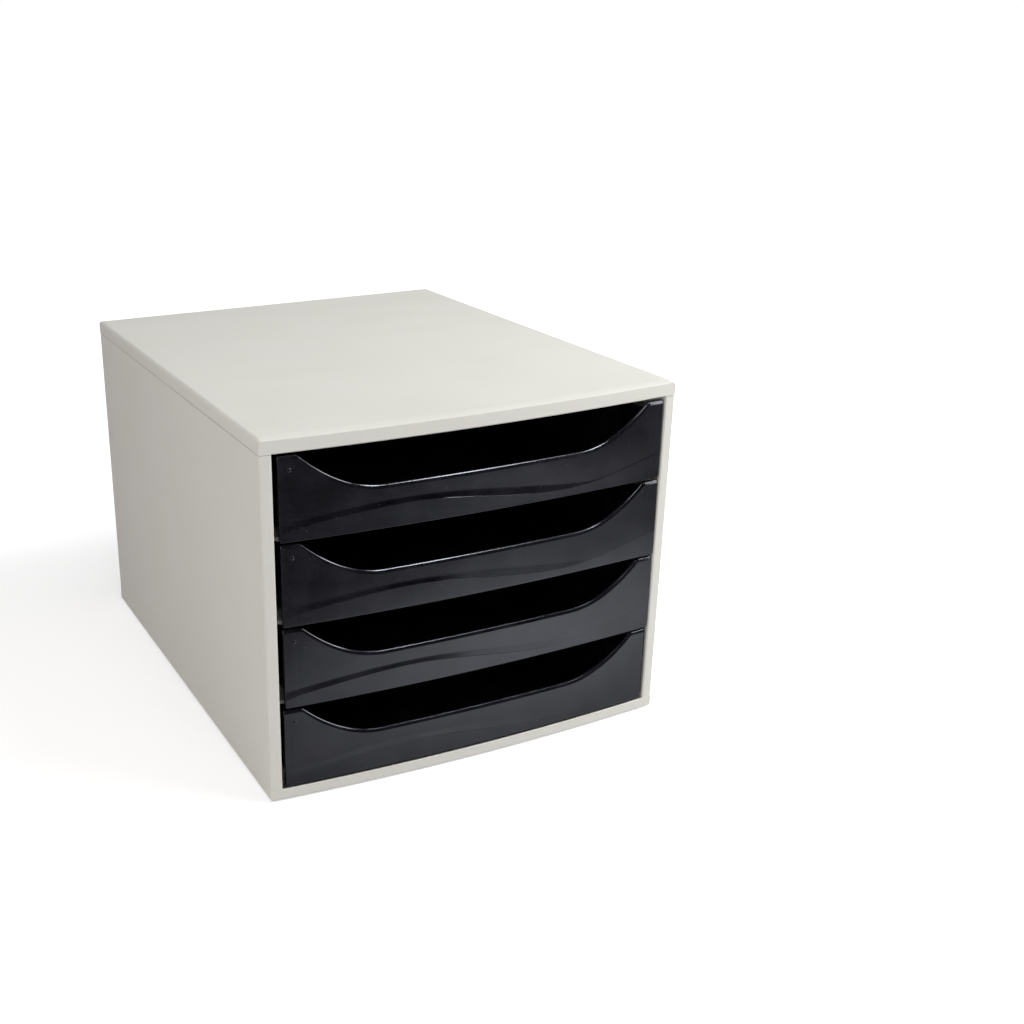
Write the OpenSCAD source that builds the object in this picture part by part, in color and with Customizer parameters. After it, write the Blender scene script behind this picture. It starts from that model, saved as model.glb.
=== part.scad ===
// Desk drawer stack for letter-size papers: a five-panel case with a front that
// bows gently outwards, and four one-piece drawers with a scooped, bowed front.
// Millimetres. X runs to the right seen from the front, the front faces -Y, Z is up.
// The origin lies under the middle of the overall box, on the plane the feet stand on.

/* [Case] */
// Overall width across the side panels
case_w = 284; // [250:1:360]
// Overall depth, from the middle of the bowed front to the back
case_d = 348; // [290:1:430]
// Overall height, rubber feet included
case_h = 234; // [190:1:300]
// How far the middle of the front stands ahead of its two ends
bow = 6.3; // [3:0.1:12]
// Wall thickness of the case mouldings
skin = 2.8; // [2:0.1:4]
// Width of the side panels' front lips, rear lips and edge flanges
lip_w = 7.4; // [6.5:0.1:10]
// Thickness of the front and rear rims, seen from above
rim_t = 3; // [2:0.1:4]
// Height of the rim that is turned down round the top panel
top_rim_h = 9.2; // [8:0.1:14]
// Height of the rim that is turned up round the bottom panel
bottom_rim_h = 7.7; // [7:0.1:14]
// Radius of the top panel's upper edges
top_edge_r = 2.6; // [1:0.1:2.8]
// Radius of the bottom panel's lower edges
bottom_edge_r = 1.8; // [1:0.1:2.8]

/* [Assembly of the case] */
// Radius of the pegs that locate the side panels in the top and bottom rims
peg_r = 2; // [1.5:0.1:2.5]
// Height that a peg stands out of the side panel
peg_h = 4.2; // [2:0.1:4.6]
// Distance from the front and the back to the centres of the end pegs
peg_inset = 28; // [20:1:60]
// Clearance round a peg and in the back panel's grooves
fit_gap = 0.15; // [0.1:0.01:0.3]
// How far the back panel's edges reach into the grooves of the side panels
tongue = 2; // [1:0.1:3]
// Thickness of the stiffening ribs
rib_t = 1.6; // [1.2:0.1:2.4]
// Height of the stiffening ribs on the top and bottom panels
rib_h = 3.4; // [2:0.1:4]
// Number of stiffening ribs across the top and bottom panels
rib_count = 3; // [1:1:6]

/* [Feet] */
// Radius of the rubber feet
foot_r = 7; // [5:0.5:10]
// How far the feet stand out under the bottom panel
foot_proud = 0.8; // [0.5:0.1:2]
// Depth of the recess that each foot is glued in
foot_recess = 1.4; // [0.5:0.1:1.8]
// Distance from the sides and the back to the centres of the feet
foot_inset = 22; // [18:1:40]

/* [Drawers] */
// Play between a drawer front and the side lips, on each side when centred
side_play = 1.8; // [1:0.1:3]
// Where each drawer lies in its side play, from the top down (1 is fully right)
lie = [0.6, 0.8, 0.65, 0];
// Gap between the bottom panel's lip and the lowest drawer front
sill_gap = 0.6; // [0.5:0.1:2]
// Gap between the highest drawer front and the top panel's lip
head_gap = 2.3; // [1:0.1:4]
// Gap between one drawer front and the next
front_gap = 1.4; // [1:0.1:3]
// Gap between a drawer and what it slides on
run_gap = 0.3; // [0.2:0.05:0.5]
// Thickness of the drawer fronts
front_t = 2.4; // [2:0.1:3.5]
// Thickness of the drawer walls
wall_t = 2; // [1.5:0.1:3]
// Thickness of the drawer floors
floor_t = 2; // [1.5:0.1:3]
// How far a drawer front reaches past the drawer's side walls
ear_over = 8.3; // [6.5:0.1:12]
// How far the side and rear walls stay below the top of the front
wall_drop = 5.8; // [5:0.1:12]
// Radius of the drawer's rear corners
rear_r = 6; // [3:0.5:15]
// Gap between a closed drawer and the back panel, which stops it
back_gap = 0.5; // [0.3:0.1:10]

/* [Drawer front] */
// Width of the flat ear at each end of the scooped edge
ear_w = 12; // [8:0.5:25]
// Depth of the scoop below the ears
scoop_drop = 24.8; // [10:0.1:28]
// Length of the curve between an ear and the flat of the scoop
scoop_run = 52.8; // [30:0.1:60]
// How far the lower part of the front stands proud of the upper part
relief = 0.7; // [0.3:0.1:1]
// Mean height of the wave between the two parts
wave_mid = 11.4; // [8:0.1:14]
// Height of the wave's crest over its mean
wave_amp = 4.8; // [2:0.1:6]
// Length of one wave
wave_len = 200; // [150:5:300]
// Place of the wave's crest along the front
wave_crest = -46; // [-80:1:0]

/* [Runners and stops] */
// Thickness of the runner ledges on the side panels
ledge_t = 2; // [1.6:0.1:2.6]
// How far the ledges reach in under the drawer's floor
ledge_bite = 5; // [4:0.1:10]
// Height of the guide that stands on a ledge beside the drawer
guide_h = 4; // [2:0.1:8]
// Gap left between a guide and the drawer's wall when the front touches the lip
guide_gap = 0.3; // [0.2:0.05:1]
// Length of the raised tail at the rear of each side wall
tail_l = 52; // [30:1:90]
// Gap between the tail and the ledge above it
tail_gap = 0.8; // [0.5:0.1:1]
// Gap between the stop under a ledge and the side wall that passes below it
stop_gap = 1.2; // [0.6:0.1:1.6]
// Thickness of that stop, front to back
stop_t = 3; // [2:0.1:5]
// How far the front of the stop lies behind the middle of the case's ends
stop_in = 16; // [12:1:30]
// Gap between the back of a drawer front and the end of the ledge behind it
ledge_gap = 0.4; // [0.3:0.1:2]
// Height of the gussets under a ledge
gusset_h = 6; // [3:0.5:10]
// Number of gussets under a ledge
gusset_count = 4; // [2:1:8]

/* [Hidden] */
$fn = 96;

// How far joined shapes run into each other, and how far a cut runs past a surface
bury = 0.5;
past = 1;
// Gap between the rear ends of the runners and the back panel
runner_gap = 1;
// How far the ledge above the highest drawer starts ahead of the stop under it
top_ledge_lead = 4;

case_grey = [0.80, 0.79, 0.76];
drawer_black = [0.10, 0.10, 0.12];
foot_grey = [0.25, 0.25, 0.26];

// The case
front_y = -case_d / 2;
back_y = case_d / 2;
side_x = case_w / 2;
bow_r = (side_x * side_x + bow * bow) / (2 * bow);
floor_z = foot_proud;
sill_z = floor_z + bottom_rim_h;
head_z = case_h - top_rim_h;
opening_w = case_w - 2 * lip_w;
panel_h = head_z - sill_z;
peg_x = side_x - lip_w / 2;
peg_y = case_d / 2 - peg_inset;
peg_places = [-peg_y, 0, peg_y];
// Places that divide the depth of the case evenly
function spread(count) = [for (i = [1:count]) case_d * (i / (count + 1) - 0.5)];
back_front_y = back_y - rim_t - fit_gap - skin;
rear_lip_y = back_front_y - fit_gap - skin;

// The feet: front left, front right, rear left, rear right
foot_x = side_x - foot_inset;
foot_front_y = front_y + bow + foot_inset;
foot_rear_y = back_y - foot_inset;
foot_centres = [for (y = [foot_front_y, foot_rear_y], x = [-foot_x, foot_x]) [x, y]];

// The drawers
drawer_count = 4;
front_w = opening_w - 2 * side_play;
pitch = (panel_h - sill_gap - head_gap + front_gap) / drawer_count;
front_h = pitch - front_gap;
tray_w = front_w - 2 * ear_over;
tray_rear_y = back_front_y - back_gap;
wall_h = front_h - wall_drop;
function drawer_z(k) = sill_z + sill_gap + (drawer_count - k) * pitch;

// The runners: a ledge under each drawer but the lowest, and one above the highest
ledge_in_x = tray_w / 2 - ledge_bite;
ledge_start = relief + front_t + ledge_gap;
top_ledge_start = stop_in - top_ledge_lead;
guide_x = tray_w / 2 + side_play + guide_gap;
gusset_w = side_x - skin - guide_x - rib_t;
stop_y = front_y + bow + stop_in;
tail_h = pitch - run_gap - ledge_t - tail_gap;
tail_y = tray_rear_y - tail_l;
runner_end_y = back_front_y - runner_gap;
// Straight steps in each curve of the scoop and along the wave
scoop_steps = 12;
wave_steps = 24;
// The travel of a drawer ends where its tail meets the stop
travel = tail_y - stop_y - stop_t;
echo(travel = travel, pitch = pitch, front_h = front_h, front_w = front_w, tray_w = tray_w);

// Everything behind the bowed front, set back by inset
module bow_disc(inset) {
    translate([0, front_y + bow_r]) circle(r = bow_r - inset, $fn = 720);
}

// The plan of the case, set in at the sides, the front and the back
module case_plan(side_in, front_in, back_in) {
    intersection() {
        bow_disc(front_in);
        translate([-side_x + side_in, front_y])
            square([case_w - 2 * side_in, case_d - back_in]);
    }
}

// The outline of a panel on edge, rounded at its two outer corners: the upper
// corners of a top panel, the lower corners of a bottom panel
module edge_outline(half, height, r, upper) {
    translate([-half, upper ? 0 : r]) square([2 * half, height - r]);
    translate([-half + r, 0]) square([2 * (half - r), height]);
    for (s = [-1, 1]) translate([s * (half - r), upper ? height - r : r]) circle(r = r);
}

// A panel's block with its bowed front, its sides and its back rounded alike
module rounded_block(height, r, upper) {
    intersection() {
        translate([0, front_y + bow_r, 0]) rotate_extrude($fn = 720) intersection() {
            edge_outline(bow_r, height, r, upper);
            square([bow_r + past, height + past]);
        }
        translate([0, back_y, 0]) rotate([90, 0, 0])
            linear_extrude(case_d) edge_outline(side_x, height, r, upper);
        translate([-side_x, 0, 0]) rotate([90, 0, 90])
            linear_extrude(case_w) edge_outline(back_y, height, r, upper);
    }
}

module peg_holes(z_mouth, up) {
    for (x = [-peg_x, peg_x], y = peg_places)
        translate([x, y, z_mouth - (up ? past : peg_h + fit_gap)])
            cylinder(r = peg_r + fit_gap, h = peg_h + fit_gap + past);
}

module cross_ribs(z_low, height) {
    for (y = spread(rib_count))
        translate([-opening_w / 2 - bury, y - rib_t / 2, z_low])
            cube([opening_w + 2 * bury, rib_t, height]);
}

module top_panel() {
    plate_z = case_h - skin;
    color(case_grey) union() {
        difference() {
            translate([0, 0, head_z]) rounded_block(top_rim_h, top_edge_r, true);
            translate([0, 0, head_z - past])
                linear_extrude(top_rim_h - skin + past) case_plan(lip_w, rim_t, rim_t);
            peg_holes(head_z, true);
        }
        cross_ribs(plate_z - rib_h, rib_h + bury);
    }
}

module bottom_panel() {
    plate_z = floor_z + skin;
    color(case_grey) difference() {
        union() {
            difference() {
                translate([0, 0, floor_z]) rounded_block(bottom_rim_h, bottom_edge_r, false);
                translate([0, 0, plate_z])
                    linear_extrude(bottom_rim_h) case_plan(lip_w, rim_t, rim_t);
                peg_holes(sill_z, false);
            }
            cross_ribs(plate_z - bury, rib_h + bury);
            bottom_runners(plate_z - bury);
        }
        for (p = foot_centres)
            translate([p[0], p[1], floor_z - past])
                cylinder(r = foot_r + fit_gap, h = foot_recess + past);
    }
}

// The lowest drawer slides on two rails of the bottom panel, between two guides
module bottom_runners(z_low) {
    lowest_z = drawer_z(drawer_count);
    for (s = [-1, 1]) {
        translate([s * (ledge_in_x + ledge_bite / 2) - rib_t / 2, stop_y, z_low])
            cube([rib_t, runner_end_y - stop_y, lowest_z - run_gap - z_low]);
        translate([s * (guide_x + rib_t / 2) - rib_t / 2, stop_y, z_low])
            cube([rib_t, runner_end_y - stop_y, lowest_z + guide_h - z_low]);
    }
}

// A ledge, in plan, for the left side: it slants in from the lip to the stop, and
// starts behind the bowed front
module ledge_plan(start) {
    wall_x = -side_x + skin;
    intersection() {
        bow_disc(start);
        polygon([
            [wall_x - bury, front_y], [-opening_w / 2, front_y],
            [-ledge_in_x, stop_y],
            [-ledge_in_x, rear_lip_y + bury], [wall_x - bury, rear_lip_y + bury]
        ]);
    }
}

// What the left side panel carries above drawer k: the ledge of the drawer over it,
// the gussets under that ledge and the stop that catches the drawer's tail
module level_above(k) {
    ledge_z = drawer_z(k) + pitch - run_gap - ledge_t;
    top_level = k == 1;
    translate([0, 0, ledge_z])
        linear_extrude(ledge_t) ledge_plan(top_level ? top_ledge_start : ledge_start);
    for (y = spread(gusset_count))
        translate([-side_x + skin, y + rib_t / 2, ledge_z])
            rotate([90, 0, 0]) linear_extrude(rib_t)
                polygon([
                    [-bury, bury], [gusset_w, bury], [gusset_w, 0], [0, -gusset_h], [-bury, -gusset_h]
                ]);
    stop_z = drawer_z(k) + wall_h + stop_gap;
    translate([-guide_x, stop_y, stop_z])
        cube([guide_x - ledge_in_x, stop_t, ledge_z - stop_z + bury]);
    if (!top_level)
        translate([-guide_x - rib_t, stop_y, ledge_z + ledge_t - bury])
            cube([rib_t, runner_end_y - stop_y, guide_h + bury]);
}

module left_panel_solid() {
    difference() {
        union() {
            translate([0, 0, sill_z]) linear_extrude(panel_h) intersection() {
                bow_disc(0);
                union() {
                    translate([-side_x, front_y]) square([skin, case_d]);
                    translate([-side_x, rear_lip_y]) square([lip_w, back_y - rear_lip_y]);
                }
            }
            translate([0, 0, sill_z]) linear_extrude(panel_h) intersection() {
                difference() {
                    bow_disc(0);
                    bow_disc(rim_t);
                }
                translate([-side_x, front_y]) square([lip_w, bow + rim_t + past]);
            }
            for (z = [sill_z, head_z - skin])
                translate([0, 0, z]) linear_extrude(skin) intersection() {
                    bow_disc(0);
                    translate([-side_x, front_y]) square([lip_w, case_d]);
                }
            for (k = [1:drawer_count]) level_above(k);
            // posts against the wall, with a peg at either end
            for (y = peg_places)
                translate([-peg_x, y, sill_z - peg_h])
                    cylinder(r = peg_r, h = panel_h + 2 * peg_h);
        }
        translate([-opening_w / 2 - tongue - fit_gap, back_front_y - fit_gap, sill_z - past])
            cube([tongue + fit_gap + past, skin + 2 * fit_gap, panel_h + 2 * past]);
    }
}

module left_side_panel() {
    color(case_grey) left_panel_solid();
}

module right_side_panel() {
    color(case_grey) mirror([1, 0, 0]) left_panel_solid();
}

// The back panel stands in the grooves of the side panels, and behind it the
// rims of the top and bottom panels hold its two long edges
module back_panel() {
    low_z = floor_z + skin + fit_gap;
    high_z = case_h - skin - fit_gap;
    groove_w = opening_w + 2 * tongue;
    rim_w = opening_w - 2 * fit_gap;
    color(case_grey) union() {
        translate([-groove_w / 2, back_front_y, sill_z + fit_gap])
            cube([groove_w, skin, panel_h - 2 * fit_gap]);
        translate([-rim_w / 2, back_front_y, low_z])
            cube([rim_w, skin, high_z - low_z]);
    }
}

module foot(centre) {
    edge = foot_proud / 2;
    color(foot_grey) translate([centre[0], centre[1], 0]) rotate_extrude()
        polygon([
            [0, 0], [foot_r - edge, 0], [foot_r, edge],
            [foot_r, foot_proud + foot_recess], [0, foot_proud + foot_recess]
        ]);
}

// The plan of a drawer behind its front, set in all round
module tray_plan(inset) {
    half = tray_w / 2 - inset;
    corner = rear_r - inset;
    rear = tray_rear_y - inset;
    intersection() {
        bow_disc(relief + inset);
        union() {
            translate([-half, front_y]) square([2 * half, rear - corner - front_y]);
            translate([-half + corner, front_y]) square([2 * (half - corner), rear - front_y]);
            for (s = [-1, 1]) translate([s * (half - corner), rear - corner]) circle(r = corner);
        }
    }
}

// A curved slice of the front, between two depths behind the bowed surface
module front_slice(out, inn, height) {
    linear_extrude(height) intersection() {
        difference() {
            bow_disc(out);
            bow_disc(inn);
        }
        translate([-front_w / 2, front_y]) square([front_w, bow + inn + past]);
    }
}

// The scooped outline of a drawer front, seen from the front
function scoop_edge(s) = [
    for (i = [0:scoop_steps])
        let (u = i / scoop_steps)
            [s * (front_w / 2 - ear_w - scoop_run * (1 - u)), front_h - scoop_drop * (1 - u * u)]
];
function reversed(list) = [for (i = [len(list) - 1:-1:0]) list[i]];

module front_outline() {
    polygon(concat(
        [[-front_w / 2, 0], [front_w / 2, 0], [front_w / 2, front_h]],
        reversed(scoop_edge(1)), scoop_edge(-1), [[-front_w / 2, front_h]]
    ));
}

// The lower part of the front ends in a long wave
function wave_z(x) = wave_mid + wave_amp * cos(360 * (x - wave_crest) / wave_len);
module wave_outline() {
    polygon(concat(
        [[front_w / 2, 0], [-front_w / 2, 0]],
        [for (i = [0:wave_steps]) let (x = front_w * (i / wave_steps - 0.5)) [x, wave_z(x)]]
    ));
}

// Pushes an outline that is seen from the front right through the drawer front
module across_front() {
    deepest = bow + relief + front_t + past;
    translate([0, front_y + deepest, 0]) rotate([90, 0, 0])
        linear_extrude(deepest + past) children();
}

module drawer_front() {
    intersection() {
        front_slice(relief, relief + front_t, front_h);
        across_front() front_outline();
    }
    intersection() {
        front_slice(0, relief + front_t / 2, front_h);
        across_front() intersection() {
            wave_outline();
            front_outline();
        }
    }
}

module drawer(k) {
    shift = lie[k - 1] * side_play;
    color(drawer_black) translate([shift, 0, drawer_z(k)]) union() {
        linear_extrude(floor_t) tray_plan(0);
        difference() {
            linear_extrude(wall_h) tray_plan(0);
            translate([0, 0, floor_t - bury]) linear_extrude(wall_h) tray_plan(wall_t);
            // the front wall is the drawer front itself
            translate([-tray_w / 2 - past, front_y - past, floor_t])
                cube([tray_w + 2 * past, past + bow + relief + bury, wall_h]);
        }
        for (s = [-1, 1])
            translate([s * (tray_w - wall_t) / 2 - wall_t / 2, tail_y, floor_t])
                cube([wall_t, tail_l - rear_r, tail_h - floor_t]);
        drawer_front();
    }
}

top_panel();
bottom_panel();
left_side_panel();
right_side_panel();
back_panel();
foot(foot_centres[0]);  // foot_front_left
foot(foot_centres[1]);  // foot_front_right
foot(foot_centres[2]);  // foot_rear_left
foot(foot_centres[3]);  // foot_rear_right
drawer(1);  // drawer_1
drawer(2);  // drawer_2
drawer(3);  // drawer_3
drawer(4);  // drawer_4
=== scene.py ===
# %% [markdown]
# # A desk drawer stack for letter-size papers
#
# A case of five pale, satin panels holds four glossy black drawers. The front of the
# whole thing bows gently outwards, and each drawer is pulled by its scooped upper edge.
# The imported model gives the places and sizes. This script gives every piece its real
# moulded shape and finish, and each piece rides on the body that it belongs to.

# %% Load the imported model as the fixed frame
import math

import bmesh
import bpy
from mathutils import Matrix, Vector


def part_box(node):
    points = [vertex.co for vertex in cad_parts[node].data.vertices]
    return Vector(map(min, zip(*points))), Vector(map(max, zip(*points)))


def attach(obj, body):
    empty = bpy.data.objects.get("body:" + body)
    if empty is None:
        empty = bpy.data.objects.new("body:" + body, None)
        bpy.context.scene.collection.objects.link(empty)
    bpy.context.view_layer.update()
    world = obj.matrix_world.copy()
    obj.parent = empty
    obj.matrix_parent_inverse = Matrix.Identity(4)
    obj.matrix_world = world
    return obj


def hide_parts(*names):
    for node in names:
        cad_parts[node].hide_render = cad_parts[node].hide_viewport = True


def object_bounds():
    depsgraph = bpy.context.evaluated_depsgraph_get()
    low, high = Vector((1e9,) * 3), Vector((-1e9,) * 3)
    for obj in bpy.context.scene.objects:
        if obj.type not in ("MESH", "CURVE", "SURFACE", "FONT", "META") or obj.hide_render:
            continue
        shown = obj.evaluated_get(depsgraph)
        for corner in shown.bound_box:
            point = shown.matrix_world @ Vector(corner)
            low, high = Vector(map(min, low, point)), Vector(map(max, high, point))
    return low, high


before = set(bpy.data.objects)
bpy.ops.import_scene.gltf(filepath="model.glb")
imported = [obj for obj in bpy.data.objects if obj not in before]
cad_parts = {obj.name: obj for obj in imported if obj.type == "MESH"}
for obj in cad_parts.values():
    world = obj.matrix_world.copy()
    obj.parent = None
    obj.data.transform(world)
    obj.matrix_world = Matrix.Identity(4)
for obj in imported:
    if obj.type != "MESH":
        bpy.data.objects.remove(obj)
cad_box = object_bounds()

# %% [markdown]
# ## Sizes
#
# Blender counts in metres, so `mm` turns millimetres into metres. The rest are the
# moulder's own sizes: wall thicknesses, lip widths and edge radii. The bow is a circle
# through the two front corners, so its radius follows from the width and from how far the
# middle stands out.

# %% The sizes that every panel shares
mm = 0.001
case_low, case_high = cad_box
half_w = case_high.x
back_y = case_high.y
top_z = case_high.z
bow = 6.3 * mm
corner_y = case_low.y + bow
bow_radius = (half_w**2 + bow**2) / (2 * bow)
skin = 2.8 * mm
lip_w = 7.4 * mm
rim_t = 3 * mm
opening_half = half_w - lip_w
head_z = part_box("top_panel")[0].z
floor_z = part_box("bottom_panel")[0].z
sill_z = floor_z + 7.7 * mm
print(f"case {2 * half_w / mm:.0f} mm wide, bow radius {bow_radius / mm:.0f} mm")

# %% [markdown]
# ## The photographer's camera
#
# The object is seen from the left, a little above it. The three sizes of the case and its
# outer edges fix where the camera stood: its place, its turn, its focal length, and how
# far the picture's middle lies from the lens's axis. The turn is given by three unit
# vectors: to the right in the picture, down in it, and away from the camera.

# %% Camera
picture = 1024
focal_px = 1328.4
axis_px = (362.7, 539.0)
to_right = Vector((0.905560, -0.424158, -0.007173))
to_bottom = Vector((-0.162788, -0.331831, -0.929187))
away = Vector((0.391741, 0.842603, -0.369541))
camera_place = Vector((-386.0, -828.6, 454.3)) * mm

lens = bpy.data.cameras.new("photo_camera")
lens.sensor_width = 36
lens.lens = focal_px / picture * lens.sensor_width
lens.shift_x = (picture / 2 - axis_px[0]) / picture
lens.shift_y = (axis_px[1] - picture / 2) / picture
lens.clip_start = 0.01
lens.clip_end = 50
camera = bpy.data.objects.new("photo_camera", lens)
bpy.context.scene.collection.objects.link(camera)
camera.matrix_world = Matrix.LocRotScale(
    camera_place, Matrix((to_right, -to_bottom, -away)).transposed(), None
)
bpy.context.scene.camera = camera
print(f"lens {lens.lens:.1f} mm, shifted by {lens.shift_x:.3f} and {lens.shift_y:.3f}")

# %% [markdown]
# ## Modelling tools
#
# A moulded panel is a plate with walls, ribs and ledges standing on it. So each panel
# starts as a plain block. Planes cut it where something will stand, and the faces there
# are extruded to their height. That keeps the mesh one closed skin, as a moulding is.
# The front is modelled straight and bent into the bow at the end, because then every
# rim, lip and rounded edge on it bends alike.

# %% Cut, raise and bend
merge_dist = 0.001 * mm
margin = 1 * mm
parallel = 0.99


def block(low, high):
    """A new mesh holding one box between two corners."""
    bm = bmesh.new()
    low, high = Vector(low), Vector(high)
    place = Matrix.LocRotScale((low + high) / 2, None, high - low)
    bmesh.ops.create_cube(bm, size=1, matrix=place)
    return bm


def cut(bm, axis, places, where=lambda centre: True):
    """Cuts the faces that pass the test along planes square to an axis."""
    normal = Vector([float(i == axis) for i in range(3)])
    for place in places:
        faces = [f for f in bm.faces if where(f.calc_center_median())]
        edges = list({e for f in faces for e in f.edges})
        verts = list({v for f in faces for v in f.verts})
        bmesh.ops.bisect_plane(
            bm, geom=verts + edges + faces, dist=merge_dist,
            plane_co=normal * place, plane_no=normal,
        )


def raise_faces(bm, direction, height, test):
    """Extrudes the faces that look along a direction and pass the test."""
    direction = Vector(direction)
    bm.normal_update()
    faces = [
        f for f in bm.faces
        if f.normal.dot(direction) > parallel and test(f.calc_center_median())
    ]
    edges = list({e for f in faces for e in f.edges})
    grown = bmesh.ops.extrude_face_region(bm, geom=faces + edges)["geom"]
    verts = [g for g in grown if isinstance(g, bmesh.types.BMVert)]
    bmesh.ops.translate(bm, vec=direction * height, verts=verts)


def bow_at(x):
    """How far the bowed front stands ahead of its two ends, at x."""
    return math.sqrt(bow_radius**2 - x**2) - (bow_radius - bow)


def bend_front(bm, deep):
    """Bends what lies less than deep behind the straight front into the bow."""
    for v in bm.verts:
        if v.co.y < corner_y + deep:
            v.co.y -= bow_at(v.co.x)


# %% [markdown]
# A moulding has no knife edges. `bevel` rounds only real edges, where two faces meet at
# an angle, and leaves the flat lines that the cuts made. Points that end up on one spot
# are merged. `columns` spaces the cuts across the front of a panel closely enough for
# its bow to look round.

# %% Round the edges
real_edge = math.radians(15)
same_place = 0.02 * mm
mostly = 0.9


def bevel(bm, width, segments, test):
    """Rounds the edges whose middle and direction pass the test."""
    bm.normal_update()
    edges = []
    for e in bm.edges:
        a, b = (v.co for v in e.verts)
        if e.calc_face_angle(0) > real_edge and test((a + b) / 2, (b - a).normalized()):
            edges.append(e)
    bmesh.ops.bevel(
        bm, geom=edges, offset=width, offset_type="OFFSET", segments=segments,
        profile=0.5, affect="EDGES", clamp_overlap=False, material=-1,
    )
    bmesh.ops.remove_doubles(bm, verts=bm.verts, dist=merge_dist)
    print(f"  {len(edges)} edges rounded to {width / mm:.2f} mm")


def near(a, b):
    """Whether two measures are the same, but for rounding."""
    return abs(a - b) < same_place


def columns(half, step):
    """Evenly spaced places from one side of the front to the other."""
    count = math.ceil(2 * half / step)
    return [half * (2 * i / count - 1) for i in range(1, count)]


# %% [markdown]
# A finished piece is shaded smooth, except at edges sharper than 35 degrees, and a
# Weighted Normal modifier keeps the large flat faces flat beside their rounded edges.
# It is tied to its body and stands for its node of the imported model.

# %% Turn a mesh into a piece
sharp_from = math.radians(35)


def is_closed(bm):
    """Whether every edge has a face on both of its sides."""
    return all(len(e.link_faces) == 2 for e in bm.edges)


def add_piece(node, bm, body, material):
    """Makes the finished piece that stands for a node."""
    mesh = bpy.data.meshes.new(node + "_shape")
    closed = is_closed(bm)
    bm.to_mesh(mesh)
    bm.free()
    mesh.shade_smooth()
    mesh.set_sharp_from_angle(angle=sharp_from)
    mesh.materials.append(material)
    piece = bpy.data.objects.new(node + "_shape", mesh)
    bpy.context.scene.collection.objects.link(piece)
    piece.modifiers.new("flat_faces", "WEIGHTED_NORMAL").keep_sharp = True
    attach(piece, body)
    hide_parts(node)
    print(f"{node}: {len(mesh.polygons)} faces, closed: {closed}")
    return piece


# %% [markdown]
# ## Materials
#
# Every finish is built from nodes that read Object coordinates, so a pattern sticks to
# its piece. A picture wrapped round the piece could do it too, but it would blur from close
# by, and nodes stay sharp at any distance. The helper `put` adds a node and fills its
# sockets with values or links, which keeps each finish short enough to read.

# %% Helpers for nodes
def put(tree, kind, sockets=None, **settings):
    """Adds a node, sets its options, and fills or links its input sockets."""
    node = tree.nodes.new(kind)
    for name, value in settings.items():
        setattr(node, name, value)
    for key, value in (sockets or {}).items():
        if isinstance(value, bpy.types.NodeSocket):
            tree.links.new(value, node.inputs[key])
        else:
            node.inputs[key].default_value = value
    return node


def new_group(name, inputs, outputs):
    """A shader node group with float inputs and the outputs named."""
    group = bpy.data.node_groups.new(name, "ShaderNodeTree")
    for label, value in inputs.items():
        socket = group.interface.new_socket(label, in_out="INPUT", socket_type="NodeSocketFloat")
        socket.default_value = value
    for label in outputs:
        group.interface.new_socket(label, in_out="OUTPUT", socket_type="NodeSocketFloat")
    return group, put(group, "NodeGroupInput").outputs, put(group, "NodeGroupOutput").inputs


def use(tree, group, **values):
    """Places a group in a material with its own values."""
    node = put(tree, "ShaderNodeGroup", node_tree=group)
    for label, value in values.items():
        node.inputs[label.replace("_", " ").capitalize()].default_value = value
    return node.outputs


def calc(tree, kind, a, b):
    """A Math node on two sockets or numbers."""
    return put(tree, "ShaderNodeMath", {0: a, 1: b}, operation=kind).outputs[0]


# %% [markdown]
# Moulded plastic shows four things from close by. A fine grain comes off the steel of
# the mould. Slow waves in the surface come from the plastic shrinking. The edges are
# rubbed lighter, and there is a little dust. Each is a group that more than one material
# places with its own values. The grain mixes a noise with a cell pattern, because the
# noise alone looks like fog, and the cells alone look like leather.

# %% Grain of the mould
grain, given, out = new_group("Mould grain", {"Size": 0.4, "Depth": 0.5}, ["Height", "Shade"])
place = put(grain, "ShaderNodeTexCoord").outputs["Object"]
finer = calc(grain, "DIVIDE", 1000, given["Size"])
fine = put(grain, "ShaderNodeTexNoise", {"Vector": place, "Scale": finer, "Detail": 2}).outputs["Fac"]
cells = put(grain, "ShaderNodeTexVoronoi", {"Vector": place, "Scale": finer}).outputs["Distance"]
both = calc(grain, "MULTIPLY", calc(grain, "ADD", fine, cells), given["Depth"])
grain.links.new(both, out["Height"])
grain.links.new(fine, out["Shade"])

# %% [markdown]
# The slow waves are one large noise. They could be modelled into the mesh, but they are
# shallower than a hair is thick, so a bump is enough to make a reflection wander. The same
# noise gives a mask, so that the colour clouds where the surface does.

# %% Slow waves and clouds in the surface
waves, given, out = new_group("Slow waves", {"Size": 30, "Depth": 1}, ["Height", "Cloud"])
place = put(waves, "ShaderNodeTexCoord").outputs["Object"]
slower = calc(waves, "DIVIDE", 1000, given["Size"])
wave = put(waves, "ShaderNodeTexNoise", {"Vector": place, "Scale": slower, "Detail": 1}).outputs["Fac"]
waves.links.new(calc(waves, "MULTIPLY", wave, given["Depth"]), out["Height"])
waves.links.new(wave, out["Cloud"])

# %% [markdown]
# The rubbed edge is found with the Bevel node: where the normal of a slightly rounder
# surface differs from the true one, an edge is near. A noise breaks the line up.

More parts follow.
